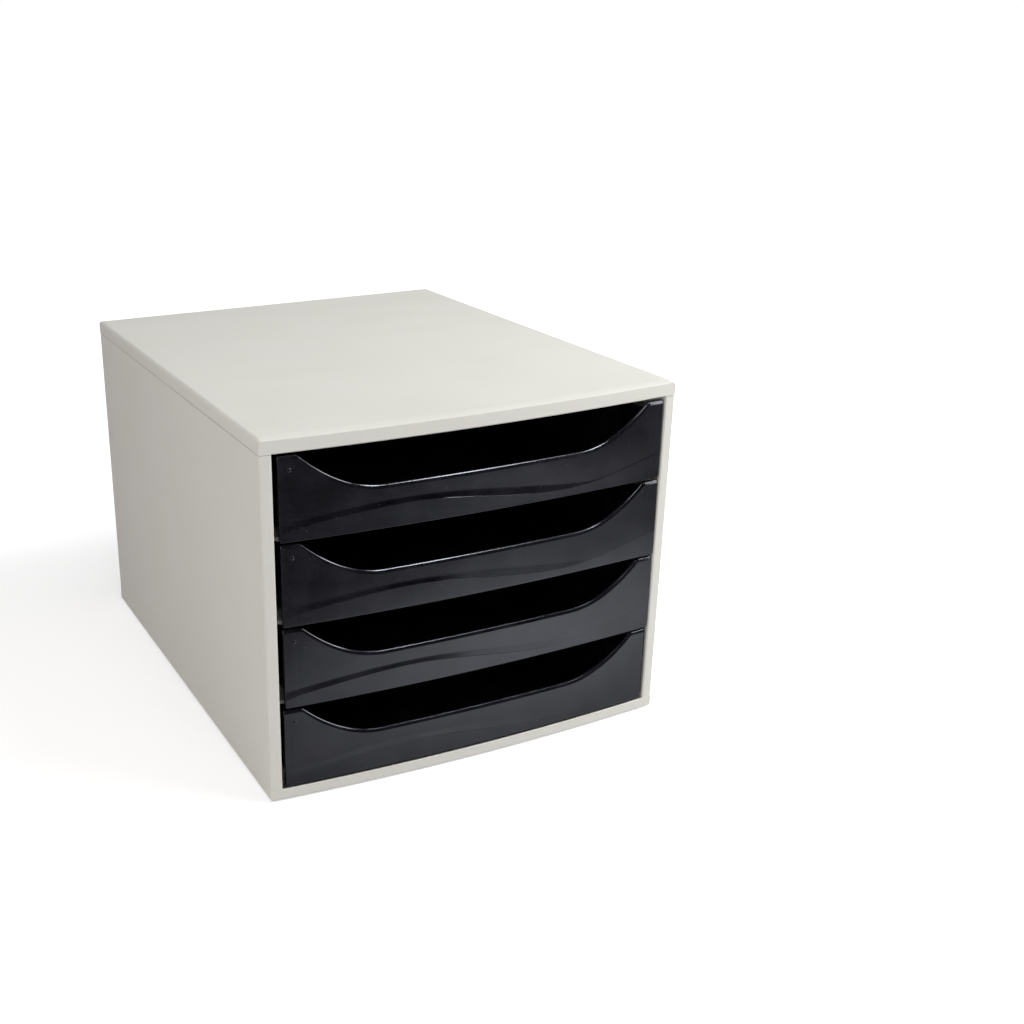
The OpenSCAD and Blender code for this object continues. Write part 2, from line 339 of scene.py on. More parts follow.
# %% Rubbed edges
rubbed, given, out = new_group("Rubbed edges", {"Reach": 1, "Amount": 1}, ["Mask"])
place = put(rubbed, "ShaderNodeTexCoord").outputs["Object"]
radius = calc(rubbed, "MULTIPLY", given["Reach"], mm)
rounder = put(rubbed, "ShaderNodeBevel", {"Radius": radius}, samples=4).outputs["Normal"]
true_normal = put(rubbed, "ShaderNodeNewGeometry").outputs["Normal"]
alike = put(rubbed, "ShaderNodeVectorMath", {0: rounder, 1: true_normal}, operation="DOT_PRODUCT")
edge = calc(rubbed, "SUBTRACT", 1, alike.outputs["Value"])
patchy = put(rubbed, "ShaderNodeTexNoise", {"Vector": place, "Scale": 60, "Detail": 3}).outputs["Fac"]
worn = calc(rubbed, "MULTIPLY", calc(rubbed, "MULTIPLY", edge, patchy), given["Amount"])
mask = put(rubbed, "ShaderNodeClamp", {"Value": worn}).outputs[0]
rubbed.links.new(mask, out["Mask"])

# %% [markdown]
# Dust is a cell pattern cut off close to the middle of each cell, which leaves scattered
# specks. Wiping leaves faint smears: a noise that is stretched along the width. The specks
# go into the colour and the smears into the roughness, where the eye expects them.

# %% Dust and wiped smears
dust, given, out = new_group("Dust", {"Spacing": 6, "Speck": 0.06}, ["Specks", "Smears"])
place = put(dust, "ShaderNodeTexCoord").outputs["Object"]
closer = calc(dust, "DIVIDE", 1000, given["Spacing"])
spots = put(dust, "ShaderNodeTexVoronoi", {"Vector": place, "Scale": closer}).outputs["Distance"]
specks = calc(dust, "LESS_THAN", spots, given["Speck"])
dust.links.new(specks, out["Specks"])
stretched = put(dust, "ShaderNodeMapping", {"Vector": place, "Scale": (14, 40, 90)}).outputs[0]
smear = put(dust, "ShaderNodeTexNoise", {"Vector": stretched, "Scale": 1, "Detail": 4}).outputs["Fac"]
dust.links.new(smear, out["Smears"])
print("groups:", ", ".join(g.name for g in bpy.data.node_groups))

# %% [markdown]
# The case is warm light grey with a satin skin. The numbers that don't change over the
# surface, such as the index of refraction, stand on the shader itself.

# %% Case plastic
def new_material(name):
    """A new material, its node tree and its shader."""
    material = bpy.data.materials.new(name)
    material.use_nodes = True
    tree = material.node_tree
    return material, tree, tree.nodes["Principled BSDF"]


def mix(tree, factor, a, b):
    """A colour between two, by a factor socket."""
    node = put(tree, "ShaderNodeMix", {0: factor, 6: a, 7: b}, data_type="RGBA")
    return node.outputs[2]


def ramp(tree, value, low, high, to_low=0.0, to_high=1.0):
    """Maps a socket's range from low..high to another range, clamped."""
    return put(
        tree, "ShaderNodeMapRange",
        {"Value": value, "From Min": low, "From Max": high, "To Min": to_low, "To Max": to_high},
    ).outputs["Result"]


case_plastic, tree, shader = new_material("case_plastic")
skin_grain = use(tree, grain, size=0.5, depth=0.01)
clouds = use(tree, waves, size=60, depth=0.05)
edges = use(tree, rubbed, reach=0.9, amount=3)
specks = use(tree, dust, spacing=16, speck=0.025)
pale = (0.705, 0.70, 0.655, 1)
warm = (0.695, 0.69, 0.64, 1)
worn_pale = (0.8, 0.79, 0.74, 1)
dust_on_pale = (0.35, 0.34, 0.31, 1)
colour = mix(tree, ramp(tree, clouds["Cloud"], 0.3, 0.7), pale, warm)
colour = mix(tree, ramp(tree, edges["Mask"], 0, 1, 0, 0.35), colour, worn_pale)
colour = mix(tree, ramp(tree, specks["Specks"], 0, 1, 0, 0.12), colour, dust_on_pale)
tree.links.new(colour, shader.inputs["Base Color"])
tree.links.new(ramp(tree, specks["Smears"], 0.3, 0.7, 0.54, 0.68), shader.inputs["Roughness"])
height = calc(tree, "ADD", skin_grain["Height"], clouds["Height"])
bump = put(tree, "ShaderNodeBump", {"Height": height, "Strength": 0.35, "Distance": 1 * mm})
tree.links.new(bump.outputs["Normal"], shader.inputs["Normal"])
shader.inputs["IOR"].default_value = 1.46

# %% [markdown]
# The drawers are near black with a slight blue, and polished. What shows on them is
# mostly the light that they mirror, so the slow waves and smears matter more than the
# colour: they soften the reflections as on any real moulding.

# %% Drawer plastic
drawer_plastic, tree, shader = new_material("drawer_plastic")
skin_grain = use(tree, grain, size=1.3, depth=0.02)
clouds = use(tree, waves, size=22, depth=0.08)
edges = use(tree, rubbed, reach=0.5, amount=2)
specks = use(tree, dust, spacing=7, speck=0.04)
black = (0.001, 0.001, 0.002, 1)
bluish = (0.011, 0.011, 0.0155, 1)
worn_black = (0.08, 0.08, 0.09, 1)
dust_on_black = (0.25, 0.25, 0.27, 1)
shade = calc(tree, "ADD", clouds["Cloud"], skin_grain["Shade"])
colour = mix(tree, ramp(tree, shade, 0.75, 1.3), black, bluish)
colour = mix(tree, ramp(tree, edges["Mask"], 0, 1, 0, 0.2), colour, worn_black)
colour = mix(tree, ramp(tree, specks["Specks"], 0, 1, 0, 0.3), colour, dust_on_black)
tree.links.new(colour, shader.inputs["Base Color"])
tree.links.new(ramp(tree, specks["Smears"], 0.35, 0.7, 0.09, 0.2), shader.inputs["Roughness"])
height = calc(tree, "ADD", skin_grain["Height"], clouds["Height"])
bump = put(tree, "ShaderNodeBump", {"Height": height, "Strength": 0.3, "Distance": 1 * mm})
tree.links.new(bump.outputs["Normal"], shader.inputs["Normal"])
shader.inputs["IOR"].default_value = 1.59
shader.inputs["Specular Tint"].default_value = (0.86, 0.89, 1.0, 1)

# %% [markdown]
# The feet are soft dark rubber, and hardly show except from below. The plastics' own grain
# group serves again, deeper than on the case, and a high roughness makes them dull.

# %% Foot rubber
rubber_dark = (0.07, 0.07, 0.07, 1)
rubber_light = (0.11, 0.11, 0.105, 1)
foot_rubber, tree, shader = new_material("foot_rubber")
skin_grain = use(tree, grain, size=0.8, depth=0.03)
colour = mix(tree, skin_grain["Shade"], rubber_dark, rubber_light)
tree.links.new(colour, shader.inputs["Base Color"])
height = skin_grain["Height"]
bump = put(tree, "ShaderNodeBump", {"Height": height, "Strength": 0.5, "Distance": 1 * mm})
tree.links.new(bump.outputs["Normal"], shader.inputs["Normal"])
shader.inputs["Roughness"].default_value = 0.8
print("materials:", ", ".join(m.name for m in (case_plastic, drawer_plastic, foot_rubber)))

# %% [markdown]
# ## Top panel
#
# The lid is a thin plate with a rim turned down all round and three ribs across. The
# upper edges at the sides and the back are round. At the front the upper face falls away
# in an arc and ends in a crisp edge, above a flat lip. The lower edge of the lip is broken
# by a small bevel, which shows as a bright line above the drawers. A wide bevel could make
# the arc, but it would eat the crisp edge. So a few rows are cut across the upper face,
# and each is let down by its own amount.

# %% Top panel
rib_t = 1.6 * mm
rib_h = 3.4 * mm
case_d = back_y - case_low.y
rib_places = [case_d * (i / 4 - 0.5) for i in (1, 2, 3)]
rib_cuts = [y + side * rib_t / 2 for y in rib_places for side in (-1, 1)]
front_zone = 25 * mm
panel_step = 7 * mm


def on_rim(c):
    """Whether a place lies on the rim of the top or bottom panel."""
    return abs(c.x) > opening_half or c.y < corner_y + rim_t or c.y > back_y - rim_t


def on_rib(c):
    return any(abs(c.y - y) < rib_t / 2 for y in rib_places)


def in_front(c):
    return c.y < corner_y + front_zone


def bow_columns(bm):
    """Gives the front of a panel the cuts that let it bend, and bends it."""
    cut(bm, 1, [corner_y + front_zone])
    cut(bm, 0, columns(half_w, panel_step), in_front)
    bend_front(bm, front_zone - margin)


top_edge_r = 2.4 * mm
crisp = 0.25 * mm
lip_arris = 0.8 * mm
seam_w = 0.3 * mm
seam_gap = 0.25 * mm
arc_run = 10 * mm
arc_r = 56 * mm
arc_rows = 6
falls_from = head_z + 2 * mm
bm = block((-half_w, corner_y, top_z - skin), (half_w, back_y, top_z))
cut(bm, 0, [-opening_half, opening_half])
cut(bm, 1, [corner_y + rim_t, back_y - rim_t] + rib_cuts)
raise_faces(bm, (0, 0, -1), rib_h, lambda c: on_rim(c) or on_rib(c))
raise_faces(bm, (0, 0, -1), top_z - skin - rib_h - head_z, on_rim)


def at_outside(c):
    """Whether a place lies in an outer face of the case: a side, the front or the back."""
    return near(abs(c.x), half_w) or near(c.y, corner_y) or near(c.y, back_y)


def over_opening(c, d):
    """Whether an edge at c, along d, runs across the front between the side lips."""
    return near(c.y, corner_y) and abs(d.x) > mostly and abs(c.x) < opening_half


def let_down_front(bm):
    """Lets the upper face down towards the front, along an arc."""
    rows = [corner_y + arc_run * i / arc_rows for i in range(1, arc_rows + 1)]
    cut(bm, 1, rows, lambda c: c.z > top_z - top_edge_r)
    for v in bm.verts:
        ahead = max(0.0, corner_y + arc_run - v.co.y)
        share = max(0.0, (v.co.z - falls_from) / (top_z - falls_from))
        v.co.z -= share * (arc_r - math.sqrt(arc_r**2 - ahead**2))


bevel(
    bm, top_edge_r, 6,
    lambda c, d: near(c.z, top_z) and at_outside(c) and not near(c.y, corner_y),
)
let_down_front(bm)
bevel(bm, crisp, 2, lambda c, d: near(c.y, corner_y) and c.z > head_z + seam_w)
bevel(bm, lip_arris, 1, lambda c, d: near(c.z, head_z) and over_opening(c, d))
bevel(
    bm, seam_w, 2,
    lambda c, d: near(c.z, head_z) and at_outside(c) and not over_opening(c, d),
)
bow_columns(bm)
add_piece("top_panel", bm, "case", case_plastic)

# %% [markdown]
# ## Bottom panel
#
# The floor of the case is the same tray the other way up. Two rails carry the lowest
# drawer, and a taller guide beside each rail keeps it straight. Separate bars could be
# set on the plate, but they would cut into it. So everything that stands on the plate is
# raised in steps, lowest first, and ribs and rails grow out of one skin. Between the side
# lips the front edge stands a little lower than the rest of the rim, and right behind it
# the rim stays as low as the ribs, which leaves a dark line under the drawer.

# %% Bottom panel
tray_half = 124.5 * mm
ledge_bite = 5 * mm
guide_clear = 2.1 * mm
ledge_in_x = tray_half - ledge_bite
rail_x = tray_half - ledge_bite / 2
guide_x = tray_half + guide_clear
stop_y = corner_y + 16 * mm
runner_end_y = 167.05 * mm
guide_h = 4 * mm
run_gap = 0.3 * mm
sill_t = 0.7 * mm
sill_drop = 0.4 * mm
arris = 0.45 * mm
floor_edge_r = 1 * mm
drawer_low_z = {k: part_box(f"drawer_{k}")[0].z for k in (1, 2, 3, 4)}
plate_z = floor_z + skin


def on_rail(c):
    return abs(abs(c.x) - rail_x) < rib_t / 2 and stop_y < c.y < runner_end_y


def on_guide(c):
    return guide_x < abs(c.x) < guide_x + rib_t and stop_y < c.y < runner_end_y


def on_sill(c):
    """Whether a place lies on the front rim, between the side lips."""
    return abs(c.x) < opening_half and c.y < corner_y + rim_t


def behind_sill(c):
    """Whether a place lies on the part of the front rim that stays low."""
    return on_sill(c) and c.y > corner_y + sill_t


def on_runner(c):
    """Whether a place lies on a rail or on the guide beside it."""
    return on_rail(c) or on_guide(c)


rail_cuts = [rail_x - rib_t / 2, rail_x + rib_t / 2, guide_x, guide_x + rib_t]
rim_cuts = [corner_y + sill_t, corner_y + rim_t, back_y - rim_t]
bm = block((-half_w, corner_y, floor_z), (half_w, back_y, plate_z))
cut(bm, 0, [-opening_half, opening_half] + rail_cuts + [-x for x in rail_cuts])
cut(bm, 1, rim_cuts + [stop_y, runner_end_y] + rib_cuts)
levels = [
    (plate_z + rib_h, lambda c: on_rim(c) or on_rib(c) or on_runner(c)),
    (sill_z - sill_drop, lambda c: (on_rim(c) and not behind_sill(c)) or on_runner(c)),
    (sill_z, lambda c: (on_rim(c) and not on_sill(c)) or on_runner(c)),
    (drawer_low_z[4] - run_gap, on_runner),
    (drawer_low_z[4] + guide_h, on_guide),
]
reached = plate_z
for level, test in levels:
    raise_faces(bm, (0, 0, 1), level - reached, test)
    reached = level
bevel(bm, floor_edge_r, 4, lambda c, d: near(c.z, floor_z) and at_outside(c))
bevel(bm, arris, 3, lambda c, d: near(c.z, sill_z - sill_drop) and over_opening(c, d))
bevel(
    bm, seam_w, 2,
    lambda c, d: near(c.z, sill_z) and at_outside(c) and not over_opening(c, d),
)
bow_columns(bm)
add_piece("bottom_panel", bm, "case", case_plastic)

# %% [markdown]
# ## Side panels
#
# A side panel is a wall with a lip turned in all round: the front lip shows beside the
# drawers, and the rear one has a groove that holds the back panel. Inside are four
# ledges, one above each drawer, which slant in behind the lip. All but the topmost carry
# the next drawer up and a guide beside it, and each has a stop below for the drawer under
# it. They are extruded from the wall and not set on it, as the steel of the mould would
# form them. The right panel is the left one mirrored.

# %% Side panels
ledge_t = 2 * mm
ledge_gap = 12 * mm
guide_y = stop_y + 14 * mm
stop_t = 3 * mm
stop_h = 2.5 * mm
rear_lip_y = back_y - 8.9 * mm
groove = (back_y - 6.1 * mm, back_y - 3 * mm)
groove_depth = 2.15 * mm
lip_rise = lip_w - skin
side_edge_r = 0.9 * mm
side_bend = 6 * mm
wall_x = -half_w + skin
pitch = drawer_low_z[1] - drawer_low_z[2]
ledge_low_z = [drawer_low_z[k] + pitch - run_gap - ledge_t for k in (1, 2, 3, 4)]


def on_ledge(c):
    beside_tray = corner_y + ledge_gap < c.y < rear_lip_y
    return beside_tray and any(z < c.z < z + ledge_t for z in ledge_low_z)


def on_lip(c):
    """Whether a place lies on the lip that runs round the wall."""
    at_end = c.z < sill_z + skin or c.z > head_z - skin
    return at_end or c.y < corner_y + rim_t or c.y > rear_lip_y


def in_groove(c):
    return groove[0] < c.y < groove[1]


def at_side_guide(c):
    return -guide_x - rib_t < c.x < -guide_x and c.y > guide_y


def at_stop(c):
    return c.x > -guide_x and stop_y < c.y < stop_y + stop_t


def side_panel():
    """The left side panel, in place."""
    bm = block((-half_w, corner_y, sill_z), (wall_x, back_y, head_z - seam_gap))
    y_cuts = [corner_y + rim_t, corner_y + ledge_gap, stop_y, stop_y + stop_t, guide_y]
    y_cuts += [rear_lip_y, groove[0], groove[1]]
    z_cuts = [sill_z + skin, head_z - skin]
    z_cuts += [z + part for z in ledge_low_z for part in (0, ledge_t)]
    cut(bm, 1, y_cuts)
    cut(bm, 2, z_cuts)
    inward = (1, 0, 0)
    raise_faces(bm, inward, lip_rise - groove_depth, lambda c: on_lip(c) or on_ledge(c))
    raise_faces(
        bm, inward, groove_depth, lambda c: (on_lip(c) and not in_groove(c)) or on_ledge(c)
    )
    raise_faces(bm, inward, half_w - lip_w - ledge_in_x, on_ledge)
    lead_from_ledges(bm)
    cut(bm, 0, [-guide_x - rib_t, -guide_x], lambda c: c.x > -opening_half)
    for z in ledge_low_z:
        if not near(z, ledge_low_z[0]):
            raise_faces(
                bm, (0, 0, 1), guide_h,
                lambda c: at_side_guide(c) and near(c.z, z + ledge_t),
            )
        raise_faces(
            bm, (0, 0, -1), stop_h,
            lambda c: at_stop(c) and near(c.z, z),
        )
    return bm


def lead_from_ledges(bm):
    """Draws the front end of each ledge back, so that it slants in to the stop."""
    for v in bm.verts:
        if v.co.x > -ledge_in_x - margin and v.co.y < stop_y - margin:
            share = (v.co.y - (corner_y - bow)) / (stop_y - (corner_y - bow))
            v.co.x = -opening_half + share * (opening_half - ledge_in_x)


def upright(d):
    return abs(d.z) > mostly


def make_side(node, mirrored):
    """A finished side panel, mirrored for the right side."""
    bm = side_panel()
    bevel(bm, side_edge_r, 3, lambda c, d: upright(d) and near(c.x, -half_w))
    bevel(
        bm, lip_arris, 1,
        lambda c, d: upright(d) and near(c.x, -opening_half) and near(c.y, corner_y),
    )
    bevel(bm, seam_w, 2, lambda c, d: near(c.z, head_z - seam_gap) and at_outside(c))
    bend_front(bm, side_bend)
    if mirrored:
        bmesh.ops.scale(bm, vec=(-1, 1, 1), verts=bm.verts)
        bmesh.ops.reverse_faces(bm, faces=bm.faces)
    add_piece(node, bm, "case", case_plastic)


make_side("left_side_panel", False)
make_side("right_side_panel", True)

# %% [markdown]
# ## Back panel
#
# A flat sheet that slides into the grooves of the side panels. Seen from behind, its
# outline is a wide cross: two side tongues fill the grooves, and the middle is taller,
# because it also stands behind the rims of the top and bottom panels. The tongues are
# drawn out of the middle, so that the whole sheet is one skin.

# %% Back panel
back_low, back_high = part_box("back_panel")
sheet_gap = 0.15 * mm
sheet_edge = 0.3 * mm
rim_half = opening_half - sheet_gap
tongue_z = (sill_z + sheet_gap, head_z - sheet_gap)
bm = block((-rim_half, back_low.y, back_low.z), (rim_half, back_high.y, back_high.z))
cut(bm, 2, tongue_z)
for side in (-1, 1):
    raise_faces(
        bm, (side, 0, 0), back_high.x - rim_half, lambda c: tongue_z[0] < c.z < tongue_z[1]
    )
bevel(bm, sheet_edge, 1, lambda c, d: True)
add_piece("back_panel", bm, "case", case_plastic)

# %% [markdown]
# ## Feet
#
# Each foot is a thin rubber pad that is round seen from below. A squat cylinder with a
# bevel would do, but the spin shows the idea of a turned piece: draw half of the section,
# and turn it once round the axis.

# %% Feet
foot_edge = 0.4 * mm


def make_foot(node):
    """A foot in the place and at the size that the frame gives."""
    low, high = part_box(node)
    centre = (low + high) / 2
    radius = (high.x - low.x) / 2
    profile = [(0, low.z), (radius - foot_edge, low.z), (radius, low.z + foot_edge)]
    profile += [(radius, high.z), (0, high.z)]
    bm = bmesh.new()
    verts = [bm.verts.new((centre.x + r, centre.y, z)) for r, z in profile]
    lines = [bm.edges.new(pair) for pair in zip(verts, verts[1:])]
    bmesh.ops.spin(
        bm, geom=verts + lines, cent=(centre.x, centre.y, 0), axis=(0, 0, 1),
        angle=math.tau, steps=48, use_merge=True,
    )
    bmesh.ops.remove_doubles(bm, verts=bm.verts, dist=merge_dist)
    bmesh.ops.recalc_face_normals(bm, faces=bm.faces)
    add_piece(node, bm, "case", foot_rubber)


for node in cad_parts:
    if node.startswith("foot"):
        make_foot(node)

# %% [markdown]
# ## Drawers: the scooped front
#
# The front is the face of the whole object, so it gets the finest mesh. A polished
# surface shows every kink, and cuts made by Booleans leave many. So the front is a grid
# whose columns run from the bottom edge to the scooped top edge. Some rows follow the
# moulded lines: the two edges of the long wave, and the rim along the top. The rows'
# heights and how far they are set back behind the bow are worked out for each column.

# %% The outline of a drawer front
front_low, front_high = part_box("drawer_4")
end_gap = 0.7 * mm
front_half = (front_high.x - front_low.x) / 2 - end_gap
front_h = 52.3 * mm
ear_w = 12 * mm
scoop_drop = 24.8 * mm
scoop_run = 52.8 * mm
ear_corner_r = 1.5 * mm
scoop_start = front_half - ear_w - scoop_run


def scoop_rise(x):
    """Height of the top edge over the bottom of the scoop, and its slope, at x."""
    u = max(0.0, (abs(x) - scoop_start) / scoop_run)
    if u >= 1:
        return scoop_drop, 0.0
    return scoop_drop * u * u, 2 * scoop_drop * u / scoop_run


def top_edge(x):
    """Height of the scooped edge at x, with the ear's corner softened, and its slope."""
    reach = ear_corner_r
    near_corner = abs(abs(x) - (front_half - ear_w)) < reach
    offsets = [reach * (i / 4 - 1) for i in range(9)] if near_corner else [0.0]
    samples = [scoop_rise(x + o) for o in offsets]
    rise = sum(s[0] for s in samples) / len(samples)
    slope = sum(s[1] for s in samples) / len(samples)
    return front_h - scoop_drop + rise, slope


print(f"scoop bottom {top_edge(0)[0] / mm:.1f} mm, ear {top_edge(front_half)[0] / mm:.1f} mm")

# %% [markdown]
# The wave is a sloping shoulder between the lower part of the front, which is flush
# with the case, and the upper part, which is set back by just over half a millimetre.
# Its two edges are cosines that share one crest, left of the middle. The upper one is
# longer, so the shoulder swells and narrows, and at the right it shrinks to a line. The
# lower edge climbs faster after its trough than it fell before it.

# %% The wave
relief = 0.6 * mm
shallows_from, shallows_over = 20 * mm, 70 * mm
shallows_by = 0.9
crest_x = -50 * mm
crest_z = 14.7 * mm
trough_z = 5.6 * mm
trough_x = 58 * mm
climb = 15.4 * mm
left_length = 240 * mm
upper_low_z, upper_swell, upper_length = 6.9 * mm, 11.2 * mm, 320 * mm
end_run, end_drop = 22 * mm, 1.6 * mm
narrowest = 0.9 * mm
wave_arris = 0.2 * mm
arris_from, arris_to = -40 * mm, 75 * mm
arris_grows, arris_fades = 30 * mm, 60 * mm


def cosine(x, crest, length):
    """A cosine from 1 at its crest to 0 in its trough."""
    return (1 + math.cos(math.tau * (x - crest) / length)) / 2


def wave_edges(x):
    """Heights of the lower and the upper edge of the shoulder at x."""
    length = 2 * (trough_x - crest_x)
    if x > trough_x:
        lower = trough_z + climb * (1 - cosine(x, trough_x, length))
    else:
        falling = cosine(x, crest_x, length if x > crest_x else left_length)
        lower = trough_z + (crest_z - trough_z) * falling
    past = max(0.0, end_run - front_half - x) / end_run
    lower -= end_drop * past * past
    upper = upper_low_z + upper_swell * cosine(x, crest_x, upper_length)
    return lower, max(upper, lower + narrowest)


def smooth(t):
    """Eases from 0 to 1 as t does, and stays there."""
    t = min(1.0, max(0.0, t))
    return t * t * (3 - 2 * t)


def shoulder(t):
    """Share of the slope at t across the shoulder: a crisp edge, then a soft foot."""
    soft = 0.3
    if t > 1 - soft:
        return 1 - (1 - t) ** 2 / soft / (2 - soft)
    return t * 2 / (2 - soft)


def arris_size(x):
    """Size of the small flat along the shoulder's lower edge, which the light catches."""
    grown = smooth((x - arris_from) / arris_grows)
    return wave_arris * grown * smooth((arris_to - x) / arris_fades)


crest_low, crest_high = wave_edges(crest_x)
print(f"shoulder {(crest_high - crest_low) / mm:.1f} mm wide at the crest")

# %% [markdown]
# The rim is a narrow bevel along the top edge. Close to the edge it has a small flat at
# 45 degrees, which catches the light as one fine line. `rim_profile` lists, in
# millimetres, how far below the edge each row lies, square to the edge, and how much
# further it is set back. Right of the middle the shoulder gets shallow, until it is only
# a faint line. The bottom edge is a quarter circle in four steps.

# %% Rows of one column
edge_r = 0.4 * mm
under_gap = 0.6 * mm
quarter_turn = [math.pi / 8 * i for i in range(5)]
arris_slope, arris_start = 0.95, 0.004 * mm
rim_profile = [(2.1, 0.0), (2.0, 0.01), (1.9, 0.04), (1.2, 0.35)]
rim_profile += [(0.52, 0.65), (0.46, 0.69), (0.42, 0.72)]
rim_profile += [(0.12, 1.02), (0.07, 1.08), (0.02, 1.18), (0.0, 1.3)]
lower_rows, shoulder_rows, upper_rows = 4, 8, 8


def rows_at(x):
    """Heights and setbacks from the bottom edge to the top edge, at x."""
    top, slope = top_edge(x)
    wave_low, wave_high = wave_edges(x)
    step = arris_size(x)
    depth = relief * (1 - shallows_by * smooth((x - shallows_from) / shallows_over))
    stretch = math.sqrt(1 + slope * slope)
    rim_low = top - rim_profile[0][0] * mm * stretch
    rows = [
        (under_gap + edge_r * (1 - math.cos(a)), edge_r * (1 - math.sin(a)))
        for a in quarter_turn
    ]
    first = under_gap + edge_r
    rows += [(first + (wave_low - first) * i / lower_rows, 0.0) for i in range(1, lower_rows)]
    rows.append((wave_low - arris_slope * step - arris_start, 0.0))
    for i in range(shoulder_rows + 1):
        t = i / shoulder_rows
        rows.append((wave_low + (wave_high - wave_low) * t, step + (depth - step) * shoulder(t)))
    for i in range(1, upper_rows):
        z = wave_high + (rim_low - wave_high) * i / upper_rows
        rows.append((z, depth + (relief - depth) * i / upper_rows))
    rows += [(top - down * mm * stretch, relief + back * mm) for down, back in rim_profile]
    return rows


row_count = len(rows_at(0))
print(f"{row_count} rows in each column")

# %% [markdown]
# The tray's side walls join the front from behind. Plastic shrinks where it is thick, so
# a faint vertical hollow shows there on the polished face. The columns lie close
# together at those places and at the two rounded ends.

# %% Columns of the front
wall_t = 2 * mm
wall_centre = tray_half - wall_t / 2
sink = 0.03 * mm
sink_w = 1.1 * mm
sink_top, sink_fade = 46 * mm, 6 * mm
end_lean, end_lean_w = 0.16 * mm, 13 * mm
column_step, least_step = 2.5 * mm, 0.15 * mm


def front_columns():
    """Places of the columns, from the left end to the right."""
    places = {front_half - edge_r * (1 - math.cos(a)) for a in quarter_turn}
    places |= {wall_centre + sink_w * (i / 3 - 2) for i in range(13)}
    places |= {front_half - ear_w + ear_corner_r * (i / 4 - 1) for i in range(9)}
    places |= {i * column_step for i in range(int(front_half / column_step))}
    kept = []
    for x in sorted(places):
        if not kept or x - kept[-1] > least_step or x > front_half - edge_r:
            kept.append(x)
    return [-x for x in reversed(kept) if x > 0] + kept


def end_setback(x):
    """How far the front falls back at x, over its last stretch and its rounded end."""
    inside = max(0.0, abs(x) - (front_half - edge_r))
    lean = max(0.0, abs(x) - (front_half - end_lean_w)) / end_lean_w
    return end_lean * lean * lean + edge_r - math.sqrt(max(0.0, edge_r**2 - inside**2))


def hollow(x, z):
    """Depth of the sink line along the side wall's root."""
    across = (abs(x) - wall_centre) / sink_w
    fade = min(1.0, max(0.0, (sink_top - z) / sink_fade))
    return sink * fade * math.exp(-across * across)


column_places = front_columns()
print(f"{len(column_places)} columns")

# %% [markdown]
# Now the front is built. One operator makes a flat grid with as many columns and rows as
# were counted, and each of its points moves to its worked-out place. Extruding the whole
# sheet and drawing the new side back to one depth gives the wall its thickness.

# %% Build the front
front_back = 3.1 * mm


def drawer_front():
    """The front of a drawer, its bottom edge on z = 0, as one closed skin."""
    bm = bmesh.new()
    across, up = len(column_places) - 1, row_count - 1
    bmesh.ops.create_grid(bm, x_segments=across, y_segments=up, size=1)
    back_of = bm.verts.layers.float.new("back")
    columns_rows = [rows_at(x) for x in column_places]
    for v in bm.verts:
        i = round((v.co.x + 1) / 2 * across)
        j = round((v.co.y + 1) / 2 * up)
        x = column_places[i]
        z, setback = columns_rows[i][j]
        front = corner_y - bow_at(x)
        v[back_of] = front + front_back
        v.co = (x, front + setback + end_setback(x) + hollow(x, z), z)
    skin_faces = bmesh.ops.extrude_face_region(bm, geom=bm.faces[:])["geom"]
    for v in skin_faces:
        if isinstance(v, bmesh.types.BMVert):
            v.co.y = v[back_of]
    bmesh.ops.recalc_face_normals(bm, faces=bm.faces)
    return bm


# %% [markdown]
# ## Drawers: the tray behind the front
#
# The tray starts as a block. Its rear corners and lower edges are rounded, the top and
# front are opened, and the shell is given its thickness inwards. The lower edges' radius
# is larger than the wall, so that they stay round inside too. The floor's front end slants
# in, so nothing shows in the gap under the front. The side walls rise at the rear into
# tails that meet the stops when the drawer is fully out.

# %% Build the tray
wall_h = 46.5 * mm
tail_h = 50.6 * mm
tray_rear = front_high.y
rear_r = 6 * mm
floor_r = wall_t + 0.6 * mm
tail_y = tray_rear - 52 * mm
buried = 1.0 * mm
undercut = 2 * mm
tray_step = 12 * mm
tray_bend = 10 * mm


def open_shell(bm, thickness, is_open):
    """Removes the faces that pass the test and thickens the rest inwards."""
    bm.normal_update()
    bmesh.ops.delete(bm, geom=[f for f in bm.faces if is_open(f)], context="FACES")
    bmesh.ops.solidify(bm, geom=bm.faces[:], thickness=thickness)


def drawer_tray():
    """The tray of a drawer, its floor on z = 0, open to the top and the front."""
    start = corner_y + front_back - buried
    bm = block((-tray_half, start, 0), (tray_half, tray_rear, wall_h))
    bevel(bm, rear_r, 8, lambda c, d: upright(d) and near(c.y, tray_rear))
    bevel(bm, floor_r, 5, lambda c, d: near(c.z, 0) and not near(c.y, start))
    open_shell(bm, wall_t, lambda f: f.normal.z > mostly or f.normal.y < -mostly)
    for v in bm.verts:
        if near(v.co.y, start) and v.co.z < under_gap:
            v.co.y += undercut
    cut(bm, 1, [tail_y, tray_rear - rear_r])
    raise_faces(
        bm, (0, 0, 1), tail_h - wall_h,
        lambda c: near(c.z, wall_h) and tail_y < c.y < tray_rear - rear_r,
    )
    cut(bm, 1, [corner_y + front_zone])
    cut(bm, 0, columns(tray_half, tray_step), in_front)
    bend_front(bm, tray_bend)
    return bm


# %% [markdown]
# The front and the tray are one moulding, so a Boolean modifier makes one closed skin of
# them. They could be left as two shells that overlap, but then hidden walls would stay
# inside the joint. A low round pip on the left ear joins them in the same way. The
# four drawers are alike, so one is made and copied. Each copy is put at its own height,
# and sideways to where it lies in its play, as the frame says.

